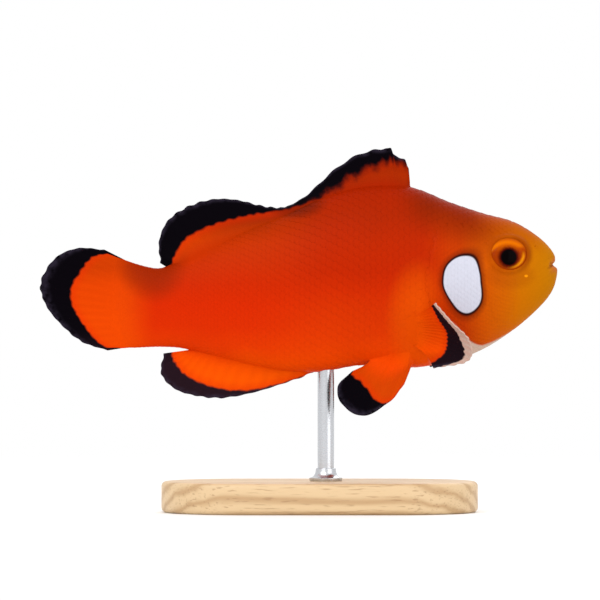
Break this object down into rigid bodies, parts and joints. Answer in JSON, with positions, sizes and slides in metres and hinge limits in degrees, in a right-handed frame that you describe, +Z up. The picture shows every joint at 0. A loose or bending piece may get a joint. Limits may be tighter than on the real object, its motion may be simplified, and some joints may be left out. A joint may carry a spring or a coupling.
{
  "type": "clownfish display model",
  "caption": "Life-size still clownfish in a level swimming pose, fins spread, held on a slim rod over a flat oval wooden base.",
  "frame": {"origin": "on the table under the middle of the whole model's box", "axes": "+X toward the fish's snout, +Y toward its left side, +Z up"},
  "size_m": [0.0752, 0.0288, 0.0529],
  "materials": {
    "body_skin": "red-orange scaled fish skin, wet satin gloss, darker along the back",
    "head_skin": "amber-orange fish skin with an oval blue-white cheek patch edged in black, satin gloss",
    "fin": "orange fin membrane over fine rays with a deep black margin, satin",
    "eye": "black pupil in a dark red and golden orange iris, glass-like gloss",
    "stand_wood": "pale oiled ash, fine straight grain, eased edges",
    "stand_steel": "fine brushed stainless steel"
  },
  "bodies": {
    "root": {"head": "head_skin", "lower_jaw": "head_skin", "gill_cover_right": "head_skin", "gill_cover_left": "head_skin", "eye_right": "eye", "eye_left": "eye", "trunk": "body_skin", "tail_stalk": "body_skin", "dorsal_fin_spiny": "fin", "dorsal_fin_soft": "fin", "anal_fin": "fin", "caudal_fin": "fin", "pelvic_fin_right": "fin", "pelvic_fin_left": "fin", "pectoral_fin_right": "fin", "pectoral_fin_left": "fin", "stand_rod": "stand_steel", "stand_collar": "stand_steel", "stand_base": "stand_wood"}
  },
  "joints": []
}
